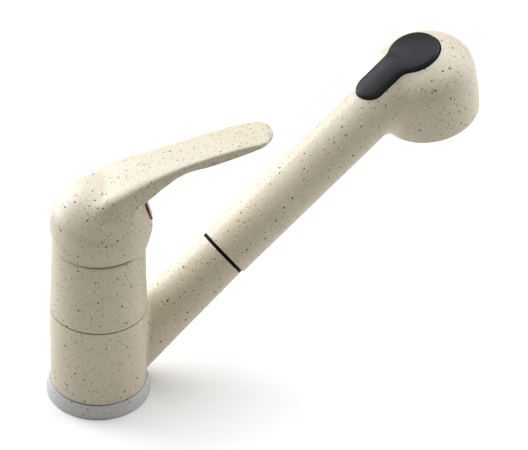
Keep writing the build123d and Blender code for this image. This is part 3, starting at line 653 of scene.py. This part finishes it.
def on_cap(vertex):
    """1 on the cap, 0 on the paddle and at the rim."""
    return (1.0 - ease(vertex.co.dot(heading), *CAP_ENDS)) * above_rim(vertex)


def at_tip(vertex):
    """1 at the paddle's tip."""
    return ease(vertex.co.dot(heading), *TIP_STARTS)


def under_paddle(vertex):
    """1 along the lower half of the paddle's root, where the two copies meet."""
    reach = vertex.co.dot(heading)
    along = ease(reach, *ROOT_STARTS) * (1.0 - ease(reach, *ROOT_ENDS))
    middle_height = MID_HEIGHT + (reach - MID_REACH) * MID_SLOPE
    return along * ease(middle_height - vertex.co.z, *BELOW_MIDDLE)


print("cap tilt:", round(math.degrees(CAP_TILT), 1), "degrees")

# %% [markdown]
# ## The lever's first copy
#
# The plug's hole would be torn open by swelling and smoothing. It could be masked, but a mask leaves a flap
# round the hole. So the hole is filled flush with the cap for now, by the part of a round bar that lies
# inside a ball, and it is cut again at the end.

# %% Lever skin, first copy: the screw hole is filled
CAP_R = 0.0244
CAP_MIDDLE = 0.005  # of the cap's ball, above the pivot
PLUG_R = 0.0044
SCREW_HEIGHT = 0.017  # of the set screw's axis, above the pivot
FILLER_OVERLAP = 0.0007  # how far the filler's side lies outside the hole's
FILLER_START = 0.0135  # from the cap's axis
FILLER_LENGTH = 0.012
VOXEL = 0.0005

screw_line = PIVOT + cap_axis * SCREW_HEIGHT
facing = cap_front.to_track_quat("Z", "Y").to_matrix().to_4x4()


def plug_bar(radius, start, length):
    """A round bar on the set screw's axis."""
    bpy.ops.mesh.primitive_cylinder_add(vertices=96, radius=radius, depth=length)
    bar = bpy.context.object
    bar.matrix_world = Matrix.Translation(screw_line + cap_front * (start + length / 2)) @ facing
    return bar


lever_skin = copy_solid("lever", "lever_skin")
ball_place = PIVOT + cap_axis * CAP_MIDDLE
bpy.ops.mesh.primitive_uv_sphere_add(segments=128, ring_count=64, radius=CAP_R, location=ball_place)
ball = bpy.context.object
filler = plug_bar(PLUG_R + FILLER_OVERLAP, FILLER_START, FILLER_LENGTH)
use_modifier(filler, "BOOLEAN", operation="INTERSECT", object=ball)
bpy.data.objects.remove(ball)
lever_skin.select_set(True)
bpy.context.view_layer.objects.active = lever_skin
bpy.ops.object.join()
remesh(lever_skin, VOXEL)
bpy.ops.object.duplicate()
true_paddle = bpy.context.object
print("first copy faces:", len(lever_skin.data.polygons))

# %% [markdown]
# ## The blend into the cap
#
# Swelling by the blend's radius and shrinking again fills every hollow corner with about that radius, as a
# founder's wax fillet does. Moving a mesh along its normals blurs the paddle's fine edge, so the swollen
# copy is kept only up to the paddle's root.

# %% Lever skin, blended: swollen, shrunk, and cut off where the paddle starts
CREASE = 0.006  # radius of the blend in the hollow corners
PADDLE_START = 0.034  # metres along the lever

for step in (CREASE, -CREASE):
    weigh(lever_skin, "rim", above_rim)
    use_modifier(lever_skin, "DISPLACE", strength=step, mid_level=0.0, vertex_group="rim")
    remesh(lever_skin, VOXEL)
bpy.ops.object.select_all(action="DESELECT")
lever_skin.select_set(True)
bpy.context.view_layer.objects.active = lever_skin
bpy.ops.object.mode_set(mode="EDIT")
bpy.ops.mesh.select_all(action="SELECT")
bpy.ops.mesh.bisect(plane_co=heading * PADDLE_START, plane_no=heading, use_fill=True, clear_outer=True)
bpy.ops.object.mode_set(mode="OBJECT")
print("blended copy faces:", len(lever_skin.data.polygons))

# %% [markdown]
# ## The two copies joined
#
# The blended cap and the unchanged paddle overlap at the root. A boolean would leave a sharp step there. One
# remesh over both makes them a single skin, and smoothing by weight then takes out the step, rounds the tip
# and lets the ridge fade into the dome.

# %% Lever skin, joined to the true paddle and smoothed
SKIN_VOXEL = 0.00045

true_paddle.select_set(True)
bpy.ops.object.join()
remesh(lever_skin, SKIN_VOXEL)
weigh(lever_skin, "cap", on_cap)
smooth(lever_skin, 200, "cap")
smooth(lever_skin, 4)
weigh(lever_skin, "tip", at_tip)
smooth(lever_skin, 24, "tip")
weigh(lever_skin, "under", under_paddle)
smooth(lever_skin, 240, "under")
print("joined skin faces:", len(lever_skin.data.polygons))

# %% [markdown]
# ## The plug's seat
#
# The plug sits in a clean round hole, as a drill leaves it after casting. It could be kept through the
# smoothing by weights, but cut last, with a boolean, its edge stays sharp.

# %% Lever skin, the plug's seat cut again
SEAT_CLEARANCE = 0.00015  # round the plug
SEAT_START = 0.0155  # from the cap's axis
SEAT_LENGTH = 0.014

cutter = plug_bar(PLUG_R + SEAT_CLEARANCE, SEAT_START, SEAT_LENGTH)
use_modifier(lever_skin, "BOOLEAN", operation="DIFFERENCE", object=cutter)
bpy.data.objects.remove(cutter)
bpy.ops.object.select_all(action="DESELECT")
lever_skin.select_set(True)
bpy.ops.object.shade_smooth()
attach(lever_skin, "lever")
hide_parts("lever")
print("lever skin faces:", len(lever_skin.data.polygons))

# %% [markdown]
# ## Edges of the cap
#
# The coating thickens into a small bead along the cap's rim, and it bridges the fine groove where the cover
# dome stands on the sleeve. In the photograph the rim shows as a pale hairline and the groove hardly at all.
# Bevels on the solids would move edges that other pieces fit to, so each bead is a thin ring of its own, a
# torus that is flattened a little.

# %% Beads of coating
SLEEVE_TOP = 0.0910
BEAD_FLATNESS = 0.9  # wet coating settles flatter than a wire


def bead(name, radius, wire, at, axis, body):
    """A thin ring of coating about an axis."""
    bpy.ops.object.select_all(action="DESELECT")
    bpy.ops.mesh.primitive_torus_add(
        major_radius=radius, minor_radius=wire, major_segments=192, minor_segments=16
    )
    ring = bpy.context.object
    ring.name = ring.data.name = name
    bpy.ops.object.mode_set(mode="EDIT")
    bpy.ops.mesh.select_all(action="SELECT")
    bpy.ops.transform.resize(value=(1.0, 1.0, BEAD_FLATNESS))
    bpy.ops.object.mode_set(mode="OBJECT")
    ring.location = at
    ring.rotation_euler = axis.to_track_quat("Z", "Y").to_euler()
    bpy.ops.object.transform_apply(location=True, rotation=True, scale=True)
    bpy.ops.object.shade_smooth()
    ring.data.materials.append(finishes["granite"])
    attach(ring, body)
    return ring


rim_place = PIVOT + cap_axis * 0.0004
joint_place = Vector((0.0, 0.0, SLEEVE_TOP + 0.0001))
rim_bead = bead("rim_bead", radius=0.02366, wire=0.00036, at=rim_place, axis=cap_axis, body="lever")
joint_bead = bead("joint_bead", radius=0.02208, wire=0.00048, at=joint_place, axis=upright, body="base")
print("beads:", rim_bead.name, joint_bead.name)

# %% [markdown]
# ## The button's skin
#
# The rocker button is one soft-touch moulding that runs from the tube up onto the head. The solid follows
# tube and head exactly, so a knuckle shows where they cross. A thumb piece is smoother than what it sits in.
# It could be drawn as a new subdivision mesh, but a copy of the solid, remeshed finely and smoothed on its
# upper face, keeps its rim where the seat in the shell needs it.

# %% Button skin
ARM_ANGLE = math.radians(36.0)
BUTTON_VOXEL = 0.0003
FACING_OUT = (0.55, 0.85)  # cosines of the angle between a normal and the arm's upright
THUMB_CROWN = 0.0007  # the smoothed face is raised again by this

arm_up = Vector((-math.sin(ARM_ANGLE), 0.0, math.cos(ARM_ANGLE)))


def on_thumb(vertex):
    """1 on faces that look out of the shell, 0 on the button's edge."""
    return ease(vertex.normal.dot(arm_up), *FACING_OUT)


button_skin = copy_solid("rocker_button", "button_skin")
remesh(button_skin, BUTTON_VOXEL)
smooth(button_skin, 6)
weigh(button_skin, "thumb", on_thumb)
smooth(button_skin, 250, "thumb")
use_modifier(button_skin, "DISPLACE", strength=THUMB_CROWN, mid_level=0.0, vertex_group="thumb")
smooth(button_skin, 8)
bpy.ops.object.shade_smooth()
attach(button_skin, "rocker")
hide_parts("rocker_button")
print("button skin faces:", len(button_skin.data.polygons))
